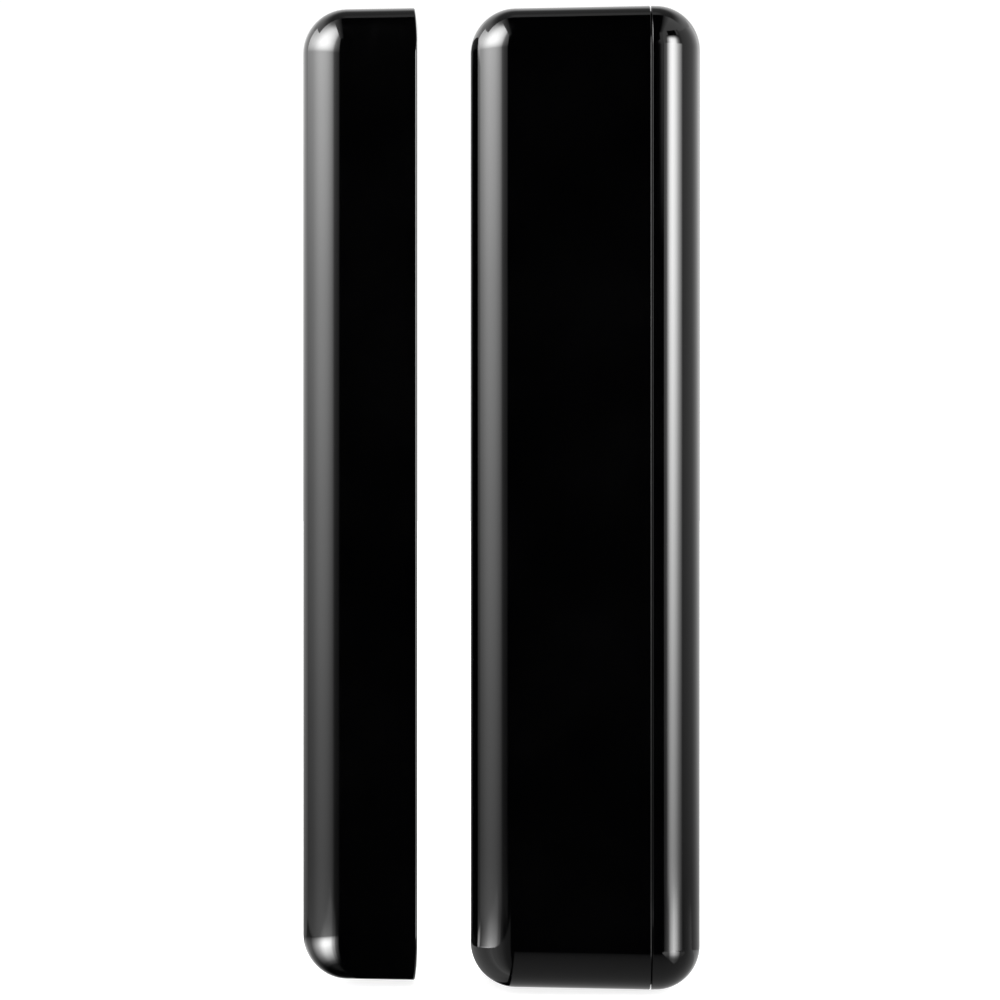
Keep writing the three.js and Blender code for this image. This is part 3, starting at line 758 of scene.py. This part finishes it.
# ---- Circuit board and its parts ----
def on_board(x, z, width, height, thickness, lift=0.0):
    """A block on the board's front, or `lift` before it."""
    return box(around(x, width), (SEAT - lift - thickness, SEAT - lift), around(z, height))


def board_slab():
    board = eased("board_slab", slab(BOARD.x, BOARD.z, 1, BOARD.y), 0.06, 2)
    hole = rod(TAMPER_AXIS, TAMPER.rod + 0.5, (BOARD_FRONT - 1, BOARD_BACK + 1), "y")
    return combined(board, [loose("hole", hole)], "DIFFERENCE")


def chip(name, x, z, wide, tall, thick, feet):
    """A moulded chip with a first-pin dimple, and bent feet at its left and right."""
    top, low = SEAT - thick, SEAT - 0.06
    foot_thick, foot_wide = 0.1, 0.36
    body = eased(name + "_body", on_board(x, z, wide, tall, thick - 0.1, 0.1), 0.12)
    dimple = rod((x - wide / 2 + 0.7, z + tall / 2 - 0.7), 0.28, (top - 0.5, top + 0.07), "y")
    combined(body, [loose("dimple", dimple)], "DIFFERENCE")
    piece(body, "sensor", "component_black", name)
    legs = []
    for i in range(feet):
        level = z - tall / 2 + (i + 1) * tall / (feet + 1)
        for side in (-1, 1):
            edge = x + side * wide / 2
            path = bent([(edge - side * 0.1, top + thick / 2), (edge + side * 0.22, top + thick / 2),
                         (edge + side * 0.28, low), (edge + side * 0.6, low)], 0.1, 3)
            legs.append(prism(band(path, foot_thick), "z", around(level, foot_wide)))
    piece(loose(name + "_feet", *legs), "sensor", "tin_plate")


def shield():
    """Pressed lid: thin walls open to the board, rounded outside, with small vent holes."""
    x, z = SHIELD
    lid = eased("shield_lid", slab(around(x, 7.4), around(z, 11), 0.5, (SEAT - 2.4, SEAT + 0.5), 6), 0.35, 4)
    cutters = [
        loose("below", box((-9, 9), (SEAT, SEAT + 2), (20, 42))),
        loose("hollow", slab(around(x, 6.8), around(z, 10.4), 0.3, (SEAT - 2.1, SEAT + 1), 4)),
    ]
    for i in range(3):
        for k in range(5):
            vent = rod((x + 1.6 * (i - 1), z + 1.7 * (k - 2)), 0.3, (SEAT - 3, SEAT - 1.8), "y", 0, 20)
            cutters.append(loose("vent", vent))
    return combined(lid, cutters, "DIFFERENCE")


def crystal_can():
    x, z = CRYSTAL
    can = eased("crystal_can", slab(around(x, 1.6), around(z, 4.4), 0.78, (SEAT - 1.1, SEAT - 0.1)), 0.2, 4)
    flange = loose("flange", slab(around(x, 1.8), around(z, 4.6), 0.88, (SEAT - 0.25, SEAT)))
    return combined(can, [flange], "UNION")


def led_parts():
    base = eased("status_led_base", on_board(*LED, 3, 2, 0.8), 0.08, 2)
    dome = [(0.9 * math.cos(t), SEAT - 0.75 - 0.9 * math.sin(t)) for t in quarter(10)]
    return combined(base, [loose("lens", lathe(dome, LED, "y"))], "UNION")


def antenna_line():
    """A leg up from the board, then a rising coil."""
    x, y, radius, turns, low, high = -5.6, -10.4, 2.0, 7, 16.0, 36.0
    back = SEAT - 0.4
    line = bent([(x, back, low - 1.2), (x, back - 0.5, low - 1.1), (x, y + radius, low)], 0.3, 4)[:-1]
    steps = turns * 48
    for i in range(steps + 1):
        turn = 2 * math.pi * turns * i / steps
        level = low + (high - low) * i / steps
        line.append((x + radius * math.sin(turn), y + radius * math.cos(turn), level))
    return line


def small_parts():
    """Chip resistors and capacitors: dark or tan bodies between tinned ends."""
    places = [(-4.9, -3.0), (-4.9, -5.4), (-4.9, -7.8), (-4.9, 2.0), (-4.9, 5.0), (-3.2, 8.6), (-3.2, 11.0),
              (-0.8, 23.0), (1.3, 23.0), (3.4, 23.0), (-2.4, 38.6), (4.3, 38.8), (-6.2, -18.0), (-4.0, 14.2)]
    bodies = {"component_black": [], "capacitor_resin": []}
    ends = []
    for i, (x, z) in enumerate(places):
        slot = "capacitor_resin" if i % 3 == 1 else "component_black"
        bodies[slot].append(on_board(x, z, 0.8, 0.9, 0.42))
        for side in (-1, 1):
            ends.append(on_board(x, z + side * 0.58, 0.84, 0.32, 0.46))
    for slot, parts in bodies.items():
        piece(rounded(loose("small_parts_" + slot, *parts), 0.04, 1), "sensor", slot)
    piece(rounded(loose("small_parts_ends", *ends), 0.06, 2), "sensor", "tin_plate")


def capacitor():
    """Moulded tantalum capacitor: a raised band marks one end, and tinned ends wrap underneath."""
    x, z = CAPACITOR
    body = eased("storage_capacitor_body", on_board(x, z, 3, 5.6, 1.7, 0.1), 0.25)
    stripe = eased("stripe", on_board(x, z + 2, 3.04, 0.6, 1.72, 0.1), 0.25)
    piece(combined(body, [stripe], "UNION"), "sensor", "capacitor_resin", "storage_capacitor")
    ends = [on_board(x, z + side * 2.75, 2, 0.5, 0.7) for side in (-1, 1)]
    piece(rounded(loose("storage_capacitor_ends", *ends), 0.05, 2), "sensor", "tin_plate")


piece(board_slab(), "sensor", "board", "circuit_board")
piece(shield(), "sensor", "tin_plate", "shield_can")
piece(crystal_can(), "sensor", "tin_plate", "crystal")
piece(led_parts(), "sensor", "led_lens", "status_led")
piece(loose("antenna_wire", wire(antenna_line(), 0.35, 14)), "sensor", "copper_wire", "antenna_coil")
chip("microcontroller", -0.9, 18, 4.4, 5, 0.9, 6)
chip("voltage_regulator", -6, -21.5, 2.6, 3.6, 1.3, 3)
small_parts()
capacitor()


# ---- Reed switch ----
def reed_tube():
    """Glass tube, drawn in to a seal round the lead at both ends."""
    half, bore, radius = REED.half, REED.bore, REED.radius
    outside = [(0.55, -half), (0.85, -half + 0.12), (1.08, -half + 0.4), (radius, -half + 0.9)]
    inside = [(bore, -half + 1.0), (0.6, -half + 0.75), (0.3, -half + 0.6), (0.28, -half)]
    mirror = lambda profile: [(r, -level) for r, level in reversed(profile)]
    profile = outside + mirror(outside) + mirror(inside) + inside
    return loose("reed_tube", lathe(profile, REED_AXIS, "z", 48, closed=True))


def reed_lead(side, inner):
    bend = REED.half + 2.7
    corner = (REED.x, REED.y, side * bend)
    end = (REED.x, SEAT, side * bend)
    return wire(bent([(REED.x, REED.y, side * inner), corner, end], 1.5, 10), 0.25, 16)


def reed_strip(x, z):
    return box(around(x, 0.2), around(REED.y, 1.0), z)


def reed_lower():
    strip = eased("strip", reed_strip(REED.x - 0.15, (-REED.half + 0.8, 0.8)), 0.06, 2)
    return combined(loose("reed_lead_lower", reed_lead(-1, REED.half - 1)), [strip], "UNION")


piece(reed_tube(), "sensor", "reed_glass", "reed_glass")
piece(reed_lower(), "sensor", "reed_metal", "reed_lower_lead")
piece(loose("reed_lead_upper", reed_lead(1, REED.half - 1)), "sensor", "reed_metal", "reed_upper_lead")
reed_tongue = eased("reed_tongue", reed_strip(REED.x + 0.15, (-0.8, REED.half - 1.4)), 0.06, 2)
piece(reed_tongue, "reed_blade", "reed_metal", "reed_blade")


# ---- Tamper switch and enrol button ----
def tamper_block():
    body = eased("tamper_block", on_board(TAMPER.x, TAMPER.z, 6, 5.6, 4), 0.25)
    bore = rod(TAMPER_AXIS, TAMPER.rod + 0.7, (BOARD_FRONT - 3.6, BOARD_FRONT + 1), "y")
    cutters = [loose("bore", bore)]
    for side in (-1, 1):
        cutters.append(loose("notch", on_board(TAMPER.x, TAMPER.z + side * 2.8, 2, 0.6, 5)))
    return combined(body, cutters, "DIFFERENCE")


def plunger():
    flange = ((0, 2.3), (1.4, 2.3), (1.5, 2.2), (1.5, 1.8), (1.4, 1.7), (TAMPER.rod, 1.65))
    profile = [(radius, BOARD_FRONT - depth) for radius, depth in flange]
    profile += [(TAMPER.rod - depth, HOUSING_BACK - inset) for depth, inset in rounding(0.35, 8)]
    profile.append((0, HOUSING_BACK))
    return loose("plunger_rod", lathe(profile, TAMPER_AXIS, "y"))


def spring_line(centre, radii, turns, start, end, along):
    """A coil along Y or Z."""
    line = []
    steps = int(turns * 32)
    for i in range(steps + 1):
        t = i / steps
        radius, level = radii[0] + (radii[1] - radii[0]) * t, start + (end - start) * t
        line.append(orbit(centre, radius, 2 * math.pi * turns * t, level, along))
    return line


def enrol_block():
    back = INNER_BACK - GAP
    y = (BOARD_BACK + SOLDER, back)
    body = eased("enrol_block", box(around(ENROL.x, 4.2), y, around(ENROL.z, 4.2)), 0.15, 2)
    well = rod(ENROL_AXIS, ENROL.cap + 0.3, (back - 0.9, back + 1), "y")
    return combined(body, [loose("well", well)], "DIFFERENCE")


piece(tamper_block(), "sensor", "component_black", "tamper_switch")
piece(plunger(), "tamper_plunger", "button_plastic", "tamper_plunger")
tamper_coil = spring_line(TAMPER_AXIS, (0.9, 0.9), 3.5, BOARD_FRONT - 2.6, BOARD_FRONT - 3.3, "y")
piece(loose("tamper_coil", wire(tamper_coil, 0.1, 10)), "tamper_plunger", "spring_steel", "tamper_spring")
piece(enrol_block(), "sensor", "component_black", "enrol_switch")
enrol_button = rod(ENROL_AXIS, ENROL.cap, (INNER_BACK - GAP - 0.4, HOUSING_BACK - GAP), "y", 0.25)
piece(loose("enrol_button", enrol_button), "enrol_cap", "button_plastic", "enrol_cap")


# ---- Battery and contacts ----
def battery_cell():
    """Steel can: rolled lower rim, crimped shoulder and a raised positive nub."""
    r = BATTERY.radius - BATTERY.wrap - 0.1
    low, nub = BATTERY.low, 1.9
    shoulder = BATTERY_TOP - 1.1
    profile = [(0, low + 0.12), (2.8, low + 0.12), (3.1, low)]
    profile += [(r - inset, low + depth) for depth, inset in rounding(0.6, 8)]
    profile += [(r - depth, shoulder - inset) for depth, inset in rounding(0.7, 8)]
    profile += [(nub + 1.2, shoulder), (nub + 0.9, shoulder - 0.12), (nub + 0.15, shoulder - 0.12)]
    profile += [(nub - depth, BATTERY_TOP - inset) for depth, inset in rounding(0.35, 6)]
    profile.append((0, BATTERY_TOP))
    return loose("battery_cell", lathe(profile, BATTERY_AXIS, "z", 96))


def battery_sleeve():
    """Shrink film that curls in a little over both rims."""
    outer, inner = BATTERY.radius, BATTERY.radius - BATTERY.wrap
    low, high = BATTERY.low + 0.3, BATTERY_TOP - 1.6
    curl = rounding(0.25, 5)
    below = [(outer - inset, low + depth) for depth, inset in curl]
    above = [(outer - depth, high - inset) for depth, inset in curl]
    profile = below + above + [(inner, high), (inner, low)]
    return loose("battery_sleeve", lathe(profile, BATTERY_AXIS, "z", 96, closed=True))


def contact(name, z):
    """Spring strip across the battery's end, with a foot bent along the board."""
    strip, foot = 0.35, 1.02
    middle = z + strip / 2
    board = SEAT - strip / 2
    path = bent([(BATTERY.y - 3, middle), (board, middle), (board, middle + foot)], 0.3, 5)
    return eased(name + "_strip", prism(band(path, strip), "x", around(BATTERY.x, 7)), 0.05, 2)


piece(battery_cell(), "battery", "battery_steel", "battery_can")
piece(battery_sleeve(), "battery", "battery_wrap", "battery_wrap")
for name, z in (("positive_contact", BATTERY_TOP + GAP), ("negative_contact", BOARD.z[0])):
    piece(contact(name, z), "sensor", "spring_steel", name)
contact_coil = spring_line(BATTERY_AXIS, (3.0, 1.6), 3.25, BOARD.z[0] + 0.6, BATTERY.low - 0.5, "z")
piece(loose("contact_coil", wire(contact_coil, 0.15, 12)), "sensor", "spring_steel", "contact_spring")


# ---- Studio ----
RING = 0.45  # radius of the flags and softboxes
ROOM = 0.6  # radius of the dimmer screens behind
LEAN_FROM = 0.12
ALL_ROUND = (0, 180)
TABLE_DROP = 0.0003  # how far the table is below the sensor's lower end


def panel(name, points, faces, material, floor=False):
    """A stage surface, in metres. All but the floor are only seen in reflections."""
    mesh = bpy.data.meshes.new(name)
    mesh.from_pydata(points, [], faces)
    made = bpy.data.objects.new(name, mesh)
    made.data.materials.append(material)
    bpy.context.scene.collection.objects.link(made)
    for ray in ("glossy",) if floor else ("camera", "diffuse", "transmission", "shadow"):
        setattr(made, "visible_" + ray, False)
    return made


def screen(name, azimuths, heights, material, radius=RING):
    """An upright curved screen round the object; azimuth 0 is towards the camera, 90 to the right."""
    steps = 12
    points = []
    for i in range(steps + 1):
        turn = math.radians(azimuths[0] + (azimuths[1] - azimuths[0]) * i / steps)
        for height in heights:
            points.append((radius * math.sin(turn), -radius * math.cos(turn), height))
    faces = [(2 * i, 2 * i + 2, 2 * i + 3, 2 * i + 1) for i in range(steps)]
    panel(name, points, faces, material)


def card(name, x, y, z, material, origin=(0, 0, 0), floor=False):
    """A level rectangle. Its sides and its light are measured from its origin."""
    points = [(x[0], y[0], z), (x[1], y[0], z), (x[1], y[1], z), (x[0], y[1], z)]
    panel(name, points, [(0, 1, 2, 3)], material, floor).location = origin


def glow(name, places, radiances, azimuths=ALL_ROUND, shares=(1, 1), along="Z", base=0.0, lean=0.0):
    """Light that changes along an axis or with the distance, in metres, and with the angle round the origin.

    `lean` turns it further towards the front with height, in radians for each metre above LEAN_FROM.
    """
    look = Nodes(name)
    look.tree.nodes.remove(look.shader)
    parts = look.parts(look.place)
    length = look.node("VectorMath", Vector=look.place)
    length.operation = "LENGTH"
    source = length.outputs["Value"] if along == "distance" else parts[along]
    ahead = look.math("MULTIPLY", parts["Y"], -1)
    turn = look.math("ABSOLUTE", look.math("ARCTAN2", parts["X"], ahead))
    if lean:
        above = look.math("MAXIMUM", look.math("SUBTRACT", parts["Z"], LEAN_FROM))
        turn = look.math("ADD", turn, look.math("MULTIPLY", above, lean))
    peak = max(*radiances, 0.001)

    def ramp(source, places, values):
        reach = places[-1] - places[0]
        stops = [((place - places[0]) / reach, (value,) * 3) for place, value in zip(places, values)]
        return look.colours(look.spread(source, 0.0, 1.0, places[0], places[-1]), *stops)

    angles = [math.radians(azimuth) for azimuth in azimuths]
    light = ramp(source, places, [radiance / peak for radiance in radiances])
    light = look.mix(1, light, ramp(turn, angles, shares), "MULTIPLY")
    light = look.mix(1, light, (base / peak, base / peak, base / peak, 1), "ADD")
    emission = look.node("Emission", Color=light, Strength=peak)
    look.feed(emission.outputs["Emission"], look.tree.nodes["Material Output"].inputs["Surface"])
    return look.material


BLACK = glow("black_flag", (0, 1), (0, 0))

# In front: a black flag that darkens the flat fronts, and a strip at its right that glows faintly higher up.
screen("front_flag", (-19, 9), (-0.20, 1.2), BLACK)
screen("right_edge_flag", (9, 18), (-0.20, 1.2),
       glow("right_edge_light", (0.06, 0.11, 1.2), (0, 0.7, 0.7), (9, 11), (0, 1)))

# To the left: a softbox with a bright head over a dimmer skirt.
screen("left_screen", (-120, -19), (-0.105, 1.2),
       glow("left_softbox",
            (-0.105, -0.098, -0.086, -0.05, 0.0, 0.05, 0.095, 0.108, 0.13, 0.16, 0.20, 0.26, 0.40, 0.52, 0.70,
             0.90, 1.2),
            (1.9, 1.6, 1.4, 1.9, 3.3, 5.4, 8.7, 10, 14, 18.5, 22.5, 25, 22, 18, 13, 6, 3),
            (19, 22, 27, 33, 36, 40, 46, 52, 60, 68, 76, 82, 88, 96, 104, 112, 120),
            (0, 0.06, 0.08, 0.15, 0.4, 0.6, 0.78, 0.92, 1, 1, 0.9, 0.77, 0.62, 0.45, 0.35, 0.26, 0.2),
            lean=0.4))

# To the right: a narrower softbox in three parts, and a black cap and a grey strip round its head.
RIGHT_SPAN = (18, 70)
FOOT_END, HEAD_START, HEAD_END, CAP_END = -0.094, 0.135, 0.30, 0.44
screen("right_foot", RIGHT_SPAN, (-0.115, FOOT_END),
       glow("right_softbox_foot", (-0.115, -0.106, -0.098, FOOT_END), (14.5, 13.5, 12, 9),
            (18, 26, 31, 37, 45, 52, 58, 63, 70), (0, 0.05, 0.1, 0.6, 1, 0.7, 0.3, 0.1, 0.02)))
screen("right_screen", RIGHT_SPAN, (FOOT_END, HEAD_START),
       glow("right_softbox", (FOOT_END, -0.086, -0.05, 0.0, 0.05, 0.10, HEAD_START),
            (6.6, 5.7, 8.6, 14.5, 20.6, 24, 25), (18, 20, 26, 30, 35.5, 41, 46.5, 52, 58, 64, 70),
            (0, 0.06, 0.07, 0.38, 0.85, 1, 0.88, 0.66, 0.38, 0.20, 0.03)))
screen("right_head", (28, 64), (HEAD_START, HEAD_END),
       glow("right_softbox_head", (HEAD_START, 0.194, 0.234, 0.255, 0.282, HEAD_END),
            (24, 23.7, 18.3, 10, 2.9, 0.2), (28, 32, 36, 41, 50, 55, 59, 64),
            (0.1, 0.38, 0.8, 1, 0.8, 0.35, 0.12, 0.02)))
screen("right_head_cap", (33, 60), (HEAD_END, CAP_END), BLACK)
screen("right_head_side", (64, 70), (HEAD_START, CAP_END), glow("head_side_light", (0, 1), (0.45, 0.45)))

# Above: a flag with dim ends, and a dim card that is brighter far out. Behind: a grey room.
card("overhead_flag", (-0.16, 0.16), (-0.45, 0.03), 0.40,
     glow("overhead_light", (-0.16, -0.08, 0.08, 0.16), (0.9, 0, 0, 0.9), along="X"))
card("back_card", (-0.45, 0.45), (-0.01, 0.55), 0.0,
     glow("back_card_light", (0.0, 0.04, 0.08, 0.19, 0.23, 0.27, 0.31, 0.40, 0.60),
          (0.45, 0.4, 0.2, 0.18, 0.35, 0.6, 0.9, 1.1, 1.1), along="distance"), (0, 0.04, 0.40))
screen("right_room", (70, 150), (-0.16, 0.5),
       glow("right_room_light", (-0.16, -0.115, -0.08, 0.0, 0.12), (0.6, 0.7, 1.0, 1.45, 1.8),
            (70, 90, 105, 121, 138), (0.35, 0.42, 0.48, 0.75, 1)), ROOM)
screen("left_room", (-160, -120), (-0.17, 0.5),
       glow("left_room_light", (-0.17, -0.115, -0.05, 0.0, 0.05, 0.12), (0.3, 0.4, 0.65, 0.85, 1.1, 1.4)),
       ROOM)

# Below: a dim card at the right, a black one at the left, and two bright patches close under the object's
# lower right and lower left corners.
FLOOR = -0.120
CARD_END = -0.0155
card("low_card", (CARD_END, 0.6), (-0.30, 0.12), FLOOR,
     glow("low_card_light", (-0.30, -0.26, -0.165, -0.11, -0.066, -0.017, 0.035, 0.12),
          (0, 0.1, 0.2, 0.25, 0.3, 0.35, 0.5, 0.7), along="Y"))
card("low_dark_card", (-0.062, CARD_END), (-0.40, 0.12), FLOOR, BLACK)
card("low_right_patch", (0.018, 0.085), (-0.09, -0.014), 0.0,
     glow("low_right_light", (0.0, 0.035, 0.046, 0.058, 0.10), (0, 1.2, 4, 9.2, 14),
          (31, 38, 46, 52, 64), (0.1, 0.7, 1, 0.7, 0.03), along="distance", base=0.25),
     (0.0085, -0.018, -0.060))
card("low_left_patch", (-0.08, 0.0), (-0.09, 0.05), 0.0,
     glow("low_left_light",
          (0.0, 0.006, 0.008, 0.011, 0.013, 0.0155, 0.0195, 0.0245, 0.0315, 0.0445, 0.073, 0.095),
          (0, 0.2, 1.5, 7, 11, 15, 19.5, 24.3, 24.3, 18.5, 5, 2),
          (17, 20, 26, 29, 34, 38, 43, 50, 56, 64, 72, 80, 88, 96, 104, 125, 155, 180),
          (0, 0.03, 0.1, 0.3, 0.45, 0.82, 0.95, 1, 1, 0.8, 0.5, 0.3, 0.18, 0.09, 0.035, 0.035, 0.08, 0.08),
          along="distance"),
     (-0.022, -0.0117, -0.052))

# A small grey card under the gap keeps the left patch out of the sensor's lower corner.
CORNER_X, CORNER_Y, CORNER_Z = -0.0045, (-0.030, 0.018), (-0.075, -0.0415)
corner_points = [(CORNER_X, CORNER_Y[i], CORNER_Z[k]) for i, k in ((0, 0), (1, 0), (1, 1), (0, 1))]
corner_light = glow("corner_card_light", CORNER_Z, (1.15, 1.15),
                    (8, 17, 22, 27, 35, 41, 50, 54, 63, 73, 117, 165),
                    (0.15, 0.2, 0.3, 0.45, 0.6, 0.75, 0.8, 1, 0.75, 0.6, 0.5, 0.25))
panel("corner_card", corner_points, [(0, 1, 2, 3)], corner_light).location = (-0.0085, -0.018, 0)


def table_top():
    """Pale lit table: mostly its own light, so that what stands on it throws only a faint shadow."""
    look = Nodes("pale_table")
    grain = look.noise(60)
    colour = look.colours(grain, (0.3, (0.90, 0.90, 0.90)), (0.7, (0.93, 0.93, 0.93)))
    return look.set(Base_Color=colour, Roughness=0.8, Emission_Color=(1, 1, 1, 1), Emission_Strength=0.82)


card("table", (-6, 6), (-6, 6), -HALF * MM - TABLE_DROP, table_top(), floor=True)

scene = bpy.context.scene
scene.world = bpy.data.worlds.new("white_room")
scene.world.use_nodes = True
background = scene.world.node_tree.nodes["Background"]
background.inputs["Color"].default_value = (1, 1, 1, 1)
background.inputs["Strength"].default_value = 1.05
scene.view_settings.view_transform = "Standard"
scene.view_settings.look = "None"

camera_data = bpy.data.cameras.new("camera")
camera_data.lens = 105.8
camera_data.sensor_width = 36
camera_data.clip_start = 0.01
camera_data.clip_end = 50
camera = bpy.data.objects.new("camera", camera_data)
camera.location = (-0.0078, -0.285, -0.0002)
camera.rotation_euler = (math.radians(90), 0, 0)
scene.collection.objects.link(camera)
scene.camera = camera
